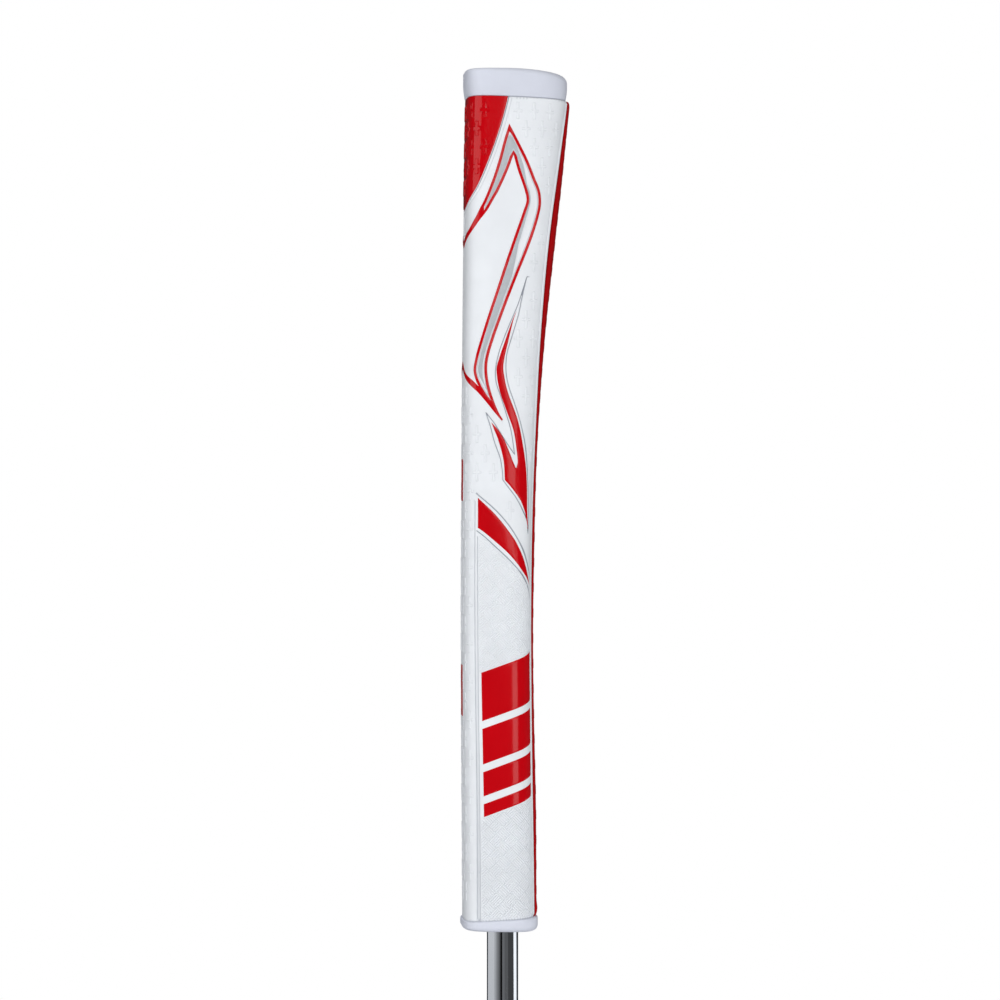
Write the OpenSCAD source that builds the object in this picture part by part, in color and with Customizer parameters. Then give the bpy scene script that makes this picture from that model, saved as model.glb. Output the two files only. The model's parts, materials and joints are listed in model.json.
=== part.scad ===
// Golf putter grip: a foam sleeve under a moulded skin, on the butt of a tubular shaft.
// +Z runs up the shaft, the flat front faces -Y, and the origin is the collar mouth.
// Places on the skin are [u, z]: u is the distance around the skin from the front centre.

/* [Grip] */
// Length from the collar mouth to the top of the butt cap
grip_len = 267; // [250:1:290]
// Squareness of the front half of the section
front_power = 4; // [3:0.1:5]
// Squareness of the back half of the section
back_power = 3.2; // [2.6:0.1:4]

/* [Skin] */
// Thickness of the moulded skin
skin_t = 1.4; // [1:0.1:1.6]
// Thickness of the felt behind the skin
felt_t = 0.5; // [0.3:0.1:0.7]
// Half width of the strip down the back, at its widest
strip_half = 9.2; // [7:0.1:10]
// Height of the back strip above the skin
strip_rise = 1; // [0.4:0.1:1.4]
// Height of the colour inlays above the skin
inlay_rise = 0.12; // [0.06:0.02:0.3]
// Depth of the colour inlays below the skin surface
inlay_sunk = 0.4; // [0.3:0.1:0.8]
// Width of the red outline around the long blade
line_w = 0.8; // [0.5:0.1:1.2]

/* [Shaft] */
// Outer diameter of the shaft below the collar
shaft_d = 9.8; // [9:0.1:10]
// Wall thickness of the shaft
shaft_wall = 0.45; // [0.3:0.05:1]
// Step in radius where the shaft enters the collar
shaft_step = 0.25; // [0.2:0.05:0.3]
// Length of shaft below the collar
stub_len = 35; // [20:1:60]
// Thickness of the tape between shaft and foam
tape_t = 0.2; // [0.1:0.05:0.3]

/* [Ends] */
// Height of the butt cap above the skin
cap_h = 8.5; // [8:0.5:10]
// Height of the bottom collar
collar_h = 3.6; // [3:0.1:5]
// Diameter of the cap's spigot inside the foam
spigot_d = 17.6; // [16:0.2:18]

/* [Port] */
// Diameter of the plug's thread
thread_d = 10; // [8:0.5:10]
// Length of the plug's thread
thread_len = 14; // [12:0.5:15]
// Diameter of the plug's head
head_d = 13; // [12.5:0.1:14]
// Height of the plug's head
head_h = 1.6; // [1.2:0.1:2]
// Diameter of the insert's barrel
barrel_d = 14; // [13:0.1:15]
// Diameter of the insert's flange
flange_d = 18; // [16:0.5:18]
// Thickness of the insert's flange
flange_h = 1.2; // [1.1:0.1:1.5]
// Width across flats of the plug's key socket
key_af = 5; // [4:0.5:6]

/* [Hidden] */
$fn = 96;

// Section stations: height, front depth, back depth, half width, share of the back strip's widest
stations = [[0, 12.4, 9.5, 12.3, 0.62], [20, 12.4, 9.3, 12.2, 0.62], [60, 12.65, 8.7, 12, 0.6],
    [100, 12.75, 8.4, 12, 0.52], [140, 12.75, 9.2, 12.1, 0.57], [180, 12.5, 11.7, 12.5, 0.87],
    [220, 12.1, 15.9, 13.3, 1], [267, 11.6, 20.6, 14.4, 0.5]];
// End pieces: front depth, back depth, half width
cap_shape = [12, 19.9, 14.6];
collar_shape = [13, 10.8, 12.9];

stretch = grip_len / 267;
skin_low = collar_h;
skin_top = grip_len - cap_h;
shaft_r = shaft_d / 2;
butt_r = shaft_r + shaft_step;
tape_r = butt_r + tape_t;
head_z = grip_len - head_h;
flange_z = head_z - flange_h;
thread_z = head_z - thread_len;
spigot_z = thread_z - 1.4;
butt_z = spigot_z - 2;
run_gap = 0.05;
head_gap = 0.3;
ring_wire = 0.84;
groove_h = 1;
groove_d = 12.4;
key_depth = 3;
around = 56;
levels = 22;
skin_cols = 24;
strip_cols = 6;
glue = 0.04;
eps = 0.01;

skin_white = [0.93, 0.94, 0.96];
skin_red = [0.78, 0, 0.06];
strip_red = [0.6, 0, 0.03];
silver = [0.7, 0.72, 0.75];

// Section of the grip: smooth through the stations
function slope(i, c) = let (a = max(i - 1, 0), b = min(i + 1, len(stations) - 1))
    (stations[b][c] - stations[a][c]) / (stations[b][0] - stations[a][0]);
function span(h) = max([for (i = [0:len(stations) - 2]) if (i == 0 || h >= stations[i][0]) i]);
function blend(h, c) = let (i = span(h), w = stations[i + 1][0] - stations[i][0], t = (h - stations[i][0]) / w)
    (2 * pow(t, 3) - 3 * t * t + 1) * stations[i][c] + (pow(t, 3) - 2 * t * t + t) * w * slope(i, c)
    + (3 * t * t - 2 * pow(t, 3)) * stations[i + 1][c] + (pow(t, 3) - t * t) * w * slope(i + 1, c);
function shape_at(z) = let (h = z / stretch) [blend(h, 1), blend(h, 2), blend(h, 3)];
function grown(shape, g) = [for (v = shape) v + g];

// Point of a section at angle t from the front centre, positive towards +X
function outline(shape, t, z) = let (c = (shape[1] - shape[0]) / 4, rear = cos(t) < 0,
    d = rear ? shape[1] - c : shape[0] + c, n = rear ? back_power : front_power,
    r = pow(pow(abs(sin(t)) / shape[2], n) + pow(abs(cos(t)) / d, n), -1 / n))
    [r * sin(t), c - r * cos(t), z];
function ring(shape, z) = [for (i = [0:around - 1]) outline(shape, 360 * i / around, z)];
function heights(a, b) = [for (i = [0:levels]) a + (b - a) * i / levels];

// Angle at a distance u around the skin at height z
function arc_table(z) = let (shape = shape_at(z), p = [for (t = [0:3:180]) outline(shape, t, z)])
    [for (i = 0, s = 0; i <= 60; s = i < 60 ? s + norm(p[i + 1] - p[i]) : s, i = i + 1) [s, 3 * i]];
function on_skin(uz, g) = let (t = sign(uz[0]) * lookup(abs(uz[0]), arc_table(uz[1])))
    outline(grown(shape_at(uz[1]), g), t, uz[1]);

// Angle at which the skin meets the back strip
function lip_angle(z) = let (s = shape_at(z), c = (s[1] - s[0]) / 4, x = strip_half * blend(z / stretch, 4))
    180 - atan2(x, (s[1] - c) * pow(1 - pow(x / s[2], back_power), 1 / back_power));

// Angles across the skin from lip to lip, and on across the strip
function skin_turns(z) = [for (i = [-skin_cols:skin_cols]) lip_angle(z) * i / skin_cols];
function strip_turns(z) = [for (i = [-strip_cols:strip_cols]) 180 + (180 - lip_angle(z)) * i / strip_cols];
function wrap_ring(z, g) = let (s = grown(shape_at(z), g), t = strip_turns(z))
    [for (a = concat(skin_turns(z), [for (i = [1:2 * strip_cols - 1]) t[i]])) outline(s, a, z)];

function quad(a, b, c, d) = [[a, b, c], [a, c, d]];

// Solid through closed rings, from the lowest to the highest
module stack(rings) {
    n = len(rings[0]);
    m = len(rings);
    sides = [for (j = [0:m - 2], i = [0:n - 1])
        each quad(j * n + i, (j + 1) * n + i, (j + 1) * n + (i + 1) % n, j * n + (i + 1) % n)];
    low = [for (i = [0:n - 1]) i];
    high = [for (i = [n - 1:-1:0]) (m - 1) * n + i];
    polyhedron([for (r = rings) each r], concat(sides, [low, high]), convexity = 4);
}

// Closed wall between an outer and an inner list of rings
module sleeve(outer, inner) {
    loop = concat(outer, [for (i = [len(inner) - 1:-1:0]) inner[i]]);
    n = len(outer[0]);
    m = len(loop);
    faces = [for (j = [0:m - 1], i = [0:n - 1]) let (k = (j + 1) % m, q = (i + 1) % n)
        each quad(j * n + i, k * n + i, k * n + q, j * n + q)];
    polyhedron([for (r = loop) each r], faces, convexity = 4);
}

// Closed slab between an outer and an inner grid of points
module slab(outer, inner) {
    m = len(outer) - 1;
    n = len(outer[0]);
    o = (m + 1) * n;
    faces = concat(
        [for (r = [0:m - 1], c = [0:n - 2]) let (a = r * n + c) each quad(a, a + n, a + n + 1, a + 1)],
        [for (r = [0:m - 1], c = [0:n - 2]) let (a = o + r * n + c) each quad(a, a + 1, a + n + 1, a + n)],
        [for (c = [0:n - 2]) each quad(c, c + 1, o + c + 1, o + c)],
        [for (c = [0:n - 2]) let (a = m * n + c) each quad(a + 1, a, o + a, o + a + 1)],
        [for (r = [0:m - 1]) let (a = r * n) each quad(a + n, a, o + a, o + a + n)],
        [for (r = [0:m - 1]) let (a = r * n + n - 1) each quad(a, a + n, o + a + n, o + a)]);
    polyhedron(concat([for (r = outer) each r], [for (r = inner) each r]), faces, convexity = 6);
}

// Thin inlay over a grid of [u, z] places
module patch(grid) {
    slab([for (r = grid) [for (p = r) on_skin([p[0], p[1] * stretch], inlay_rise)]],
        [for (r = grid) [for (p = r) on_skin([p[0], p[1] * stretch], -inlay_sunk)]]);
}

// Inlay across rows of [z, near u, far u]
module ribbon(rows, cols) {
    patch([for (r = rows) [for (i = [0:cols]) [r[1] + (r[2] - r[1]) * i / cols, r[0]]]]);
}

// Inlay of even width along a path of [u, z] places
module band(path, w) {
    last = len(path) - 1;
    function side(i) = let (d = path[min(i + 1, last)] - path[max(i - 1, 0)]) [d[1], -d[0]] / norm(d) * w / 2;
    patch([for (i = [0:last]) [path[i] - side(i), path[i] + side(i)]]);
}

// A pair of mirrored copies, one on each side of the grip
module both_sides() {
    children();
    mirror([1, 0, 0]) children();
}

module rod(d, z0, z1) {
    translate([0, 0, z0]) cylinder(d = d, h = z1 - z0);
}

module shaft() {
    color([0.75, 0.77, 0.8]) difference() {
        union() {
            rod(2 * shaft_r, -stub_len, 0);
            rod(2 * butt_r, 0, butt_z);
        }
        rod(2 * (shaft_r - shaft_wall), -stub_len - 1, 0);
        rod(2 * (butt_r - shaft_wall), 0, butt_z + 1);
    }
}

module shaft_tape() {
    color([0.85, 0.8, 0.62]) difference() {
        rod(2 * tape_r, collar_h + 0.4, butt_z - 2);
        rod(2 * butt_r, 0, butt_z);
    }
}

module foam_core() {
    color([0.3, 0.31, 0.34]) difference() {
        stack([for (z = heights(skin_low, skin_top)) wrap_ring(z, -skin_t - felt_t - glue)]);
        rod(2 * tape_r, 0, spigot_z + eps);
        rod(spigot_d, spigot_z, grip_len);
    }
}

module felt_backing() {
    color([0.8, 0.8, 0.78]) sleeve(
        [for (z = heights(skin_low, skin_top)) wrap_ring(z, -skin_t - glue)],
        [for (z = heights(skin_low, skin_top)) wrap_ring(z, -skin_t - felt_t)]);
}

module skin_wrap() {
    function row(z, g) = let (s = grown(shape_at(z), g)) [for (t = skin_turns(z)) outline(s, t, z)];
    color(skin_white) slab([for (z = heights(skin_low, skin_top)) row(z, 0)],
        [for (z = heights(skin_low, skin_top)) row(z, -skin_t)]);
}

module back_strip() {
    // Rise of the strip across its width: flat on top with rounded shoulders
    function rise(q) = strip_rise * pow(1 - pow(abs(q), 4), 0.5);
    function row(z, top) = let (s = shape_at(z), t = strip_turns(z), m = strip_cols)
        [for (i = [-m:m]) outline(grown(s, top ? rise(i / m) : -skin_t), t[i + m], z)];
    color(strip_red) slab([for (z = heights(skin_low, skin_top)) row(z, true)],
        [for (z = heights(skin_low, skin_top)) row(z, false)]);
}

module butt_cap() {
    // Profile of the rim: height below the top, inset from the full shape
    rim = [[cap_h, 0.3], [cap_h - 0.4, 0], [2, 0], [0.9, 0.35], [0.25, 1], [0, 2]];
    color(skin_white) difference() {
        union() {
            stack([for (r = rim) ring(grown(cap_shape, -r[1]), grip_len - r[0])]);
            rod(spigot_d, spigot_z, skin_top + 1);
        }
        rod(barrel_d, spigot_z - 1, flange_z + eps);
        rod(flange_d, flange_z, head_z);
        rod(head_d + 2 * head_gap, head_z - eps, grip_len + 1);
    }
}

module bottom_collar() {
    // Profile of the rim: height, inset from the full shape
    rim = [[0, 1.6], [0.25, 0.8], [0.9, 0.2], [1.6, 0], [collar_h - 0.3, 0], [collar_h, 0.3]];
    color(skin_white) difference() {
        stack([for (r = rim) ring(grown(collar_shape, -r[1]), r[0])]);
        rod(2 * butt_r, -1, collar_h + 1);
    }
}

module port_insert() {
    barb = 0.3;
    color([0.12, 0.12, 0.13]) difference() {
        union() {
            rod(barrel_d, spigot_z, flange_z + eps);
            rod(flange_d, flange_z, head_z);
            for (k = [1:3]) rod(barrel_d + 2 * barb, spigot_z + 3 * k, spigot_z + 3 * k + 1);
        }
        rod(thread_d, spigot_z - 1, grip_len);
        rod(groove_d, head_z - groove_h, grip_len);
    }
}

module port_plug() {
    shank = thread_d / 2 - run_gap;
    color([0.16, 0.16, 0.17]) difference() {
        rotate_extrude() polygon([[0, thread_z], [shank - 0.8, thread_z], [shank, thread_z + 0.8],
            [shank, head_z], [head_d / 2, head_z], [head_d / 2, grip_len - 0.4],
            [head_d / 2 - 0.4, grip_len], [0, grip_len]]);
        translate([0, 0, grip_len - key_depth]) cylinder(d = key_af / cos(30), h = key_depth + 1, $fn = 6);
    }
}

module plug_o_ring() {
    ring_r = (thread_d + groove_d) / 4;
    color([0.05, 0.05, 0.05]) translate([0, 0, head_z - groove_h / 2])
        rotate_extrude() translate([ring_r, 0]) circle(d = ring_wire, $fn = 24);
}

// Red field at the top of the front, narrowing to a round tip
module top_field_inlay() {
    rows = [[223.9, 1], [224.6, 5], [226.2, 8.3], [229, 11.4], [232, 13.7], [238.3, 16.3], [244.4, 18.5],
        [250.6, 20.4], [258, 22.3]];
    color(skin_red) ribbon([for (r = rows) [r[0], -r[1], r[1]]], 16);
}

// Red outline: a blade that starts and ends at the front centre, and a second line inside it
module blade_line_inlays() {
    outer = [[0, 213.6], [9, 216.8], [12, 219.8], [15.4, 226], [17.8, 232], [19.8, 238.3], [21.4, 244.4],
        [23.1, 249.6], [25.7, 244.5], [28.8, 238.3], [31.3, 232.2], [33, 227.5], [32.8, 223], [31, 216.8],
        [28.7, 210.6], [25, 201.3], [21.3, 192], [18, 182.8], [16.3, 176.6], [16.2, 172], [17, 167.3],
        [18.6, 163], [20.8, 158.5], [18, 161.1], [15.5, 164.2], [12.4, 167.3], [8.1, 170.4], [0, 174.6]];
    inner = [[9, 216.8], [13.8, 219.8], [17, 224], [19.8, 229], [22.6, 235.2], [24.4, 240.3], [25.7, 235.2],
        [27.8, 229], [28.3, 226], [27.4, 222.9], [25.3, 216.7], [22.1, 207.5], [19, 198.2], [15.9, 188.9],
        [13, 179.7], [11.7, 173.5], [13, 169]];
    color(skin_red) both_sides() {
        band(outer, line_w);
        band(inner, line_w);
    }
}

// Silver channel between the two red lines
module blade_silver_inlays() {
    gap = line_w / 2 + 0.1;
    tip = [[241.4, 21.1, 27], [244.4, 21.9, 25.2], [247, 22.7, 24]];
    side = [[169.5, 13.2, 16.2], [173.5, 11.8, 15.9], [179.7, 13.1, 16.8], [188.9, 15.9, 19.8],
        [198.2, 19, 23.4], [207.5, 22.1, 27.1], [216.7, 25.3, 30.6], [222.9, 27.4, 32.4], [227.5, 28.1, 32.6],
        [232.2, 26.7, 31], [238.3, 25, 28.5]];
    color(silver) both_sides() {
        ribbon(tip, 2);
        ribbon([for (r = side) [r[0], r[1] + gap, r[2] - gap / 2]], 2);
    }
}

// Flame behind the blade: a long prong that widens into the root, and a short prong split from it
module flame_inlays() {
    long_prong = [[124.5, 29.8, 30.1], [130.2, 28, 29.4], [133.3, 26.5, 29.3], [137.6, 23.3, 29],
        [139.6, 21.6, 28.9], [143.2, 25.1, 28.6], [148.8, 25.2, 27.7], [154.9, 24.2, 26.3],
        [161.1, 22, 24.5], [167.3, 19.9, 22.3], [173.5, 19, 21.1], [179.7, 20.5, 21.8],
        [185.8, 22.8, 23.5], [191.6, 25, 25.3]];
    short_prong = [[[21.5, 139.9], [24.9, 143.5]], [[21.1, 145.7], [23.8, 145.7]], [[20.5, 148.8], [22.7, 148.8]],
        [[19.6, 151.9], [21.4, 151.9]], [[18.3, 154.9], [19.6, 154.9]], [[17.2, 157.4], [17.5, 157.4]]];
    color(skin_red) both_sides() {
        ribbon(long_prong, 3);
        patch(short_prong);
    }
}

// Wedge below the flame
module wedge_inlays() {
    rows = [[107, 31.2, 31.5], [111.5, 27.6, 29.3], [114.7, 25.1, 28], [117.9, 22.3, 26.5],
        [120.9, 18.6, 24.8], [124, 14.6, 22.6], [124.8, 13.2, 22], [130.2, 13.2, 17.4], [134, 13.2, 13.5]];
    color(skin_red) both_sides() ribbon(rows, 5);
}

// Slanted bars on the lower side panel, each thinner than the one above
module bar_inlays() {
    near = 14.6;
    far = 31.6;
    climb = 0.36;
    gap = 2.4;
    tall = [4, 7.5, 11, 15];
    low = 35.3;
    color(skin_red) both_sides() for (k = [0:len(tall) - 1]) {
        z0 = low + k * gap + (k > 0 ? tall[0] : 0) + (k > 1 ? tall[1] : 0) + (k > 2 ? tall[2] : 0);
        patch([for (h = [0, tall[k]]) [for (i = [0:8]) let (u = near + (far - near) * i / 8)
            [u, z0 + h + climb * (u - near)]]]);
    }
}

// Plain dashes across the flat front
module front_dash_inlays() {
    near = 0.8;
    reach = 3.2;
    color(skin_red) for (z = [[133, 146], [66, 82]])
        both_sides() ribbon([[z[0], near, reach], [z[1], near, reach]], 4);
}

shaft();
shaft_tape();
foam_core();
felt_backing();
skin_wrap();
back_strip();
butt_cap();
bottom_collar();
port_insert();
port_plug();
plug_o_ring();
top_field_inlay();
blade_line_inlays();
blade_silver_inlays();
flame_inlays();
wedge_inlays();
bar_inlays();
front_dash_inlays();
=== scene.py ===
"""Looks of a pistol-shaped putter grip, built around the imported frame.

Lengths in this file are millimetres until a mesh is made. Places on the skin are (u, z): u is the
distance around the skin from the front centre, z the height. Both sides of the grip are mirror images,
so each flat layout covers the half with u >= 0.
"""
# fmt: off

import json
import math
from functools import cached_property

import bpy
import numpy as np
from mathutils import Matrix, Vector
from mathutils.geometry import delaunay_2d_cdt
from mathutils.kdtree import KDTree


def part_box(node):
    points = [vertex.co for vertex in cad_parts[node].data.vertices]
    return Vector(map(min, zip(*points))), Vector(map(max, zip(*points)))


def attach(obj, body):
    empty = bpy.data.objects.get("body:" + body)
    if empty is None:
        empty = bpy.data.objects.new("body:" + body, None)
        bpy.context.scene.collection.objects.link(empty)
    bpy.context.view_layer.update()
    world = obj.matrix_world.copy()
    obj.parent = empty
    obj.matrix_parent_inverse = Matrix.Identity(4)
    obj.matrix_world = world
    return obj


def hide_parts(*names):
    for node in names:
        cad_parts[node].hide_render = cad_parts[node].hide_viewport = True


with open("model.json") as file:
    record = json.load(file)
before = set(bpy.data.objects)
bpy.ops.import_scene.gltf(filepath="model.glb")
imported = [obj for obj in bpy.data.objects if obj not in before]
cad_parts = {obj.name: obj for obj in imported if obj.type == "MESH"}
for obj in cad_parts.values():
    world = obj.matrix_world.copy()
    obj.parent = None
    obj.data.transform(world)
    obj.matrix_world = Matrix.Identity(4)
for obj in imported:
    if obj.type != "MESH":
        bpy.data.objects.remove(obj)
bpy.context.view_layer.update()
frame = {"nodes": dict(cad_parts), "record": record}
NODES = frame["nodes"]
MM = 0.001


def box_mm(node):
    """Lowest and highest corner of a CAD node."""
    return [np.array(corner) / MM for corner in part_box(node)]


(_, _, SKIN_LOW), (_, _, SKIN_TOP) = box_mm("skin_wrap")
(_, _, CAP_LOW), (_, _, CAP_TOP) = box_mm("butt_cap")
(_, _, STUB_END), (BUTT_R, _, SHAFT_TOP) = box_mm("shaft")
MOUNTS = {m["name"]: m["dims"] for m in frame["record"]["mounts"]}
SHAFT_R, TUBE_R = (MOUNTS[name]["r_mm"] for name in ("shaft_end", "shaft_tube"))

# ---- section of the grip

# height, front depth, back depth, half width, half width of the back strip
STATIONS = np.array([
    [0, 12.4, 9.5, 12.3, 5.7], [20, 12.4, 9.3, 12.2, 5.7], [60, 12.65, 8.7, 12, 5.52],
    [100, 12.75, 8.4, 12, 4.78], [140, 12.58, 9.2, 12.1, 5.24], [180, 12.35, 11.7, 12.5, 8.0],
    [220, 11.92, 15.9, 13.3, 9.2], [267, 11.1, 20.6, 14.4, 4.6],
])
FRONT_POWER, BACK_POWER = 4, 3.2
# front depth, back depth and half width of the two end pieces
CAP_SHAPE = (12, 19.9, 14.6)
COLLAR_SHAPE = (13, 10.8, 12.9)


def smooth(knots, values, slopes, at):
    """The smooth curve through values and slopes at the knots, at the places asked for."""
    i = np.clip(np.searchsorted(knots, at, side="right") - 1, 0, len(knots) - 2)
    w = (knots[i + 1] - knots[i])[..., None]
    t = (at - knots[i])[..., None] / w
    out = (2 * t**3 - 3 * t**2 + 1) * values[i] + (t**3 - 2 * t**2 + t) * w * slopes[i]
    return out + (3 * t**2 - 2 * t**3) * values[i + 1] + (t**3 - t**2) * w * slopes[i + 1]


def shape_at(z):
    """Front depth, back depth, half width and strip half width at heights z."""
    h, v = STATIONS[:, 0], STATIONS[:, 1:]
    low, high = np.maximum(np.arange(len(h)) - 1, 0), np.minimum(np.arange(len(h)) + 1, len(h) - 1)
    slope = (v[high] - v[low]) / (h[high] - h[low])[:, None]
    return np.moveaxis(smooth(h, v, slope, np.clip(z, h[0], h[-1])), -1, 0)


def section(front, back, half, turn):
    """x and y of a section at angles from the front centre."""
    s, c = np.sin(turn), np.cos(turn)
    mid = (back - front) / 4
    rear = c < 0
    depth = np.where(rear, back - mid, front + mid)
    n = np.where(rear, BACK_POWER, FRONT_POWER)
    r = ((np.abs(s) / half) ** n + (np.abs(c) / depth) ** n) ** (-1 / n)
    return r * s, mid - r * c


TURNS = np.radians(np.arange(0, 180.01, 0.25))
ROW_Z = np.arange(-2.0, 271.0)


def _rows():
    front, back, half, strip = shape_at(ROW_Z)
    x, y = section(front[:, None], back[:, None], half[:, None], TURNS[None, :])
    step = np.hypot(np.diff(x, axis=1), np.diff(y, axis=1))
    arc = np.concatenate([np.zeros((len(ROW_Z), 1)), np.cumsum(step, axis=1)], axis=1)
    mid = (back - front) / 4
    lip = math.pi - np.arctan2(strip, (back - mid) * (1 - (strip / half) ** BACK_POWER) ** (1 / BACK_POWER))
    lip_u = np.array([np.interp(a, TURNS, row) for a, row in zip(lip, arc)])
    return arc, lip_u


ARC, LIP_U = _rows()


def lip_u(z):
    """Distance around the skin to its edge beside the back strip."""
    return np.interp(z, ROW_Z, LIP_U)


def whole_u(z):
    """Distance around the skin from the front centre to the back centre."""
    return np.interp(z, ROW_Z, ARC[:, -1])


def strip_half(z):
    """Distance around the skin from its edge to the back centre, under the back strip."""
    return whole_u(z) - lip_u(z)


def pairs(u, z):
    """Flat points from u and z. Either may be one number."""
    return np.stack(np.broadcast_arrays(u, z), 1)


def turn_at(u, z):
    """Angles from the front centre of places (u, z)."""
    f = np.clip(z - ROW_Z[0], 0, len(ROW_Z) - 1.001)
    k = f.astype(int)
    w = f - k
    out = np.empty(len(u))
    for row in np.unique(k):
        m = k == row
        a = np.interp(u[m], ARC[row], TURNS)
        b = np.interp(u[m], ARC[row + 1], TURNS)
        out[m] = a + (b - a) * w[m]
    return out


def on_skin(flat, rise, strip=False):
    """Points in space for places (u, z), raised off the skin. For the strip, u starts at the back centre."""
    u, z = flat.T
    front, back, half, _ = shape_at(z)
    x, y = section(front + rise, back + rise, half + rise, turn_at(whole_u(z) - u if strip else u, z))
    return np.stack([np.where(u < 1e-5, 0, x), y, z], 1)


# heights where the ends start to lean, and the radius about the axis that stays straight
BUTT_LEAN, MOUTH_LEAN, STRAIGHT_R = 242, 16, 8.9


def lean(points):
    """Both ends sit a little askew: the butt end falls towards the back, the mouth towards the front."""
    x, y, z = points.T
    seam = 0.35 + 1.05 * np.clip((y + 12) / 32, 0, 1) ** 1.5
    crown = 0.3 + 1.65 * np.clip(y / 18, 0, 2) ** 2
    share = np.clip((z - BUTT_LEAN) / (SKIN_TOP - BUTT_LEAN), 0, 1)
    rise = np.clip((z - SKIN_TOP) / (CAP_TOP - SKIN_TOP), 0, 1)
    drop = seam * share**2 * (3 - 2 * share) * (1 - rise) + crown * rise
    foot = np.clip((MOUTH_LEAN - z) / (MOUTH_LEAN - SKIN_LOW), 0, 1)
    mouth = np.clip(1 - z / SKIN_LOW, 0, 1)
    drop = drop + ((0.4 - 0.045 * y) * (1 - mouth) + (0.45 + 0.02 * y) * mouth) * foot**2 * (3 - 2 * foot)
    clear = np.clip((np.hypot(x, y) - STRAIGHT_R) / 2, 0, 1)
    return np.stack([x, y, z - drop * clear], 1)


# ---- flat outlines


def spline(points, step=0.5):
    """Points at even steps along a smooth line through the given ones."""
    p = np.array(points, float)
    t = np.concatenate([[0], np.cumsum(np.linalg.norm(np.diff(p, axis=0), axis=1))])
    m = np.empty_like(p)
    m[1:-1] = (p[2:] - p[:-2]) / (t[2:] - t[:-2])[:, None]
    m[0], m[-1] = (p[1] - p[0]) / t[1], (p[-1] - p[-2]) / (t[-1] - t[-2])
    return smooth(t, p, m, np.linspace(0, t[-1], max(2, int(round(t[-1] / step)) + 1)))


def loop(*runs):
    """A closed outline of smooth runs, with a corner where each takes over from the last.

    The last point runs straight back to the first unless they are the same.
    """
    parts = [spline(runs[0])]
    parts += [spline([before[-1], *run])[1:] for before, run in zip(runs, runs[1:])]
    line = np.concatenate(parts)
    if np.linalg.norm(line[0] - line[-1]) < 1e-6:
        return line[:-1]
    return np.concatenate([line, spline([line[-1], line[0]])[1:-1]])


def normals(line, closed):
    ahead, behind = np.roll(line, -1, axis=0), np.roll(line, 1, axis=0)
    if not closed:
        ahead[-1], behind[0] = line[-1], line[0]
    d = ahead - behind
    d = d / np.maximum(np.linalg.norm(d, axis=1), 1e-9)[:, None]
    return np.stack([d[:, 1], -d[:, 0]], 1)


def beside(line, away, closed=False):
    """The line moved to its right by away, or to its left where away is negative."""
    return line + normals(line, closed) * away


def between(line, low, high):
    """The points of a line between two heights."""
    return line[(line[:, 1] >= low) & (line[:, 1] <= high)]


def inside(points, outline):
    """Which points lie inside a closed outline."""
    x, y = points[:, 0], points[:, 1]
    odd = np.zeros(len(points), bool)
    for (x0, y0), (x1, y1) in zip(outline, np.roll(outline, -1, axis=0)):
        if y0 == y1:
            continue
        cross = (y0 > y) != (y1 > y)
        odd ^= cross & (x < (x1 - x0) * (y - y0) / (y1 - y0) + x0)
    return odd


def tree_of(points):
    tree = KDTree(len(points))
    for i, p in enumerate(points):
        tree.insert((p[0], p[1], 0), i)
    tree.balance()
    return tree


class Nearness:
    """Distance from points to sampled lines, and which line is nearest."""

    def __init__(self, lines, closed, fine=0.06):
        spots = []
        for k, line in enumerate(lines):
            ends = np.roll(line, -1, axis=0) if closed[k] else line[1:]
            for a, b in zip(line, ends):
                n = max(1, int(np.linalg.norm(b - a) / fine))
                spots += [(*(a + (b - a) * i / n), k) for i in range(n)]
            spots.append((*line[-1], k))
        self.tree, self.owner = tree_of(spots), [s[2] for s in spots]

    def __call__(self, points):
        found = [self.tree.find((p[0], p[1], 0)) for p in points]
        return np.array([f[2] for f in found]), np.array([self.owner[f[1]] for f in found])


FIELD_EDGE = [
    (22.65, 258.5), (22.3, 256.8), (20.75, 250.6), (18.85, 244.4), (16.6, 238.3), (13.9, 232.1),
    (12.1, 229.1), (9.2, 226.2), (5.6, 224.3), (0, 223.5),
]
FIELD = loop(FIELD_EDGE, [(0, 258.5)])

BLADE_LEFT = [
    (0, 213.6), (8.9, 216.9), (12, 220.1), (13.8, 223.2), (15.4, 226.2), (17.8, 232.1), (19.8, 238.3),
    (21.4, 244.4), (23.05, 249.8),
]
BLADE_RIGHT = [
    (25.7, 244.5), (28.8, 238.3), (31.3, 232.2), (32.6, 229.1), (33.1, 226), (32.8, 223), (31, 216.8),
    (28.7, 210.6), (24.9, 201.3), (21.3, 192), (18, 182.8), (16.3, 176.6), (16.15, 172.5), (17.1, 167.3),
    (19.3, 161.1), (20.95, 158.2),
]
BLADE_FOOT = [(18.1, 160.8), (15.7, 163.8), (12.6, 167.2), (8.2, 170.4), (3.5, 172.9), (0, 174.2)]
BLADE = loop(BLADE_LEFT, BLADE_RIGHT, [(20.5, 157.95)], BLADE_FOOT)

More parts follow.
